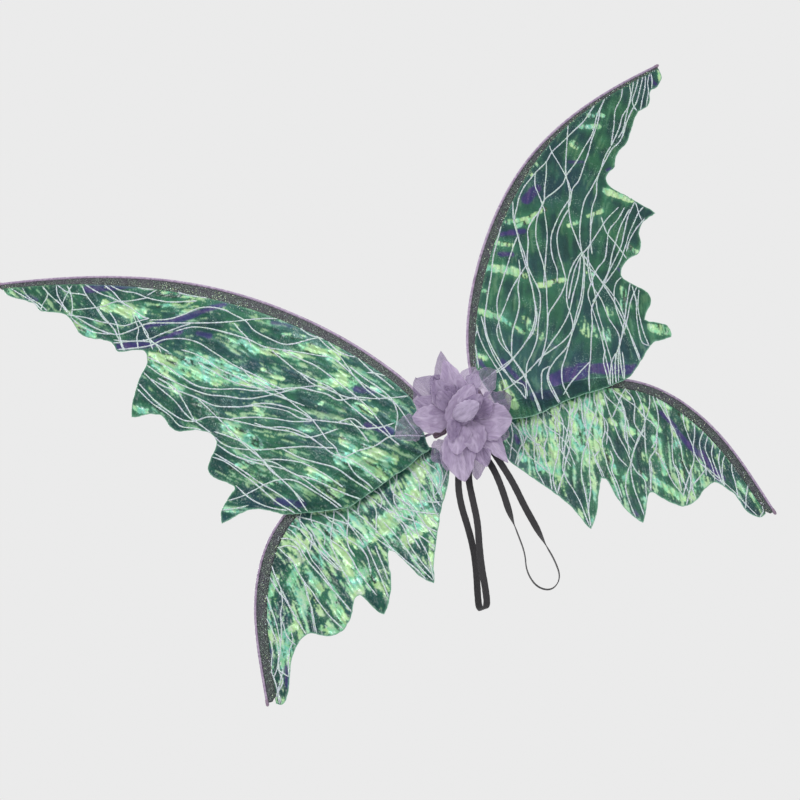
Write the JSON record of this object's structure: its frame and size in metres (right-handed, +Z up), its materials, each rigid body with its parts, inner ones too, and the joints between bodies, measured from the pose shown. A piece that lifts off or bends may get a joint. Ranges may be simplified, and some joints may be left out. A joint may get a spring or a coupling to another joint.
{
  "type": "fairy wings",
  "caption": "Costume wings: wire-framed iridescent film panels with ragged edges on a felt hub, a chiffon flower over it and two elastic shoulder loops.",
  "frame": {"origin": "centre of the back pad's rear face, which rests on the wearer's back", "axes": "+Z up as worn, +X to the right seen from behind the wearer, +Y towards the wearer; the flower faces -Y"},
  "size_m": [0.9631, 0.2846, 0.6934],
  "materials": {
    "iridescent_film": "crinkled iridescent film with printed glitter threads",
    "glitter_mesh": "dark open mesh with glitter flecks",
    "steel_wire": "drawn wire",
    "spar_tube": "lilac tape wound tube",
    "tip_wrap": "lilac tape wrap",
    "thread": "waxed thread",
    "felt": "mauve felt",
    "board": "stiff sheet",
    "glue": "set hot glue",
    "felt_disc": "lavender felt",
    "chiffon": "sheer lavender chiffon",
    "elastic": "woven flat elastic"
  },
  "bodies": {
    "hub": {"back_pad": "felt", "stiffener_board": "board", "front_pad": "felt", "edge_stitches": "thread", "glue_puck": "glue", "flower_base": "felt_disc", "petals_back": "chiffon", "petals_front": "chiffon", "petals_inner": "chiffon", "flower_bud": "chiffon", "left_strap_anchors": "elastic", "right_strap_anchors": "elastic", "left_shoulder_strap": "elastic", "right_shoulder_strap": "elastic"},
    "left_root": {"left_root_tab": "felt", "upper_left_tie": "thread", "lower_left_tie": "thread"},
    "upper_left_wing": {"upper_left_spar_wire": "steel_wire", "upper_left_spar_cover": "spar_tube", "upper_left_tip_cap": "tip_wrap", "upper_left_hem": "glitter_mesh", "upper_left_film": "iridescent_film"},
    "lower_left_wing": {"lower_left_spar_wire": "steel_wire", "lower_left_spar_cover": "spar_tube", "lower_left_tip_cap": "tip_wrap", "lower_left_hem": "glitter_mesh", "lower_left_film": "iridescent_film"},
    "right_root": {"right_root_tab": "felt", "upper_right_tie": "thread", "lower_right_tie": "thread"},
    "upper_right_wing": {"upper_right_spar_wire": "steel_wire", "upper_right_spar_cover": "spar_tube", "upper_right_tip_cap": "tip_wrap", "upper_right_hem": "glitter_mesh", "upper_right_film": "iridescent_film"},
    "lower_right_wing": {"lower_right_spar_wire": "steel_wire", "lower_right_spar_cover": "spar_tube", "lower_right_tip_cap": "tip_wrap", "lower_right_hem": "glitter_mesh", "lower_right_film": "iridescent_film"}
  },
  "joints": [
    {"name": "left_fold", "type": "hinge", "parent": "hub", "child": "left_root", "pos_m": [-0.02, -0.003, 0], "axis": [0, 0, -1], "range_deg": [-18, 55]},
    {"name": "right_fold", "type": "hinge", "parent": "hub", "child": "right_root", "pos_m": [0.02, -0.003, 0], "axis": [0, 0, 1], "range_deg": [-18, 55]},
    {"name": "upper_left_spread", "type": "hinge", "parent": "left_root", "child": "upper_left_wing", "pos_m": [-0.02751, -0.00261, 0.01725], "axis": [0.412, 0.9082, -0.0732], "range_deg": [-6, 10]},
    {"name": "upper_right_spread", "type": "hinge", "parent": "right_root", "child": "upper_right_wing", "pos_m": [0.02751, -0.00261, 0.01725], "axis": [0.412, -0.9082, 0.0732], "range_deg": [-6, 10]},
    {"name": "lower_left_spread", "type": "hinge", "parent": "left_root", "child": "lower_left_wing", "pos_m": [-0.02864, 0.00458, -0.00927], "axis": [0.412, 0.9082, -0.0732], "range_deg": [-7, 6]},
    {"name": "lower_right_spread", "type": "hinge", "parent": "right_root", "child": "lower_right_wing", "pos_m": [0.02864, 0.00458, -0.00927], "axis": [0.412, -0.9082, 0.0732], "range_deg": [-7, 6]}
  ]
}
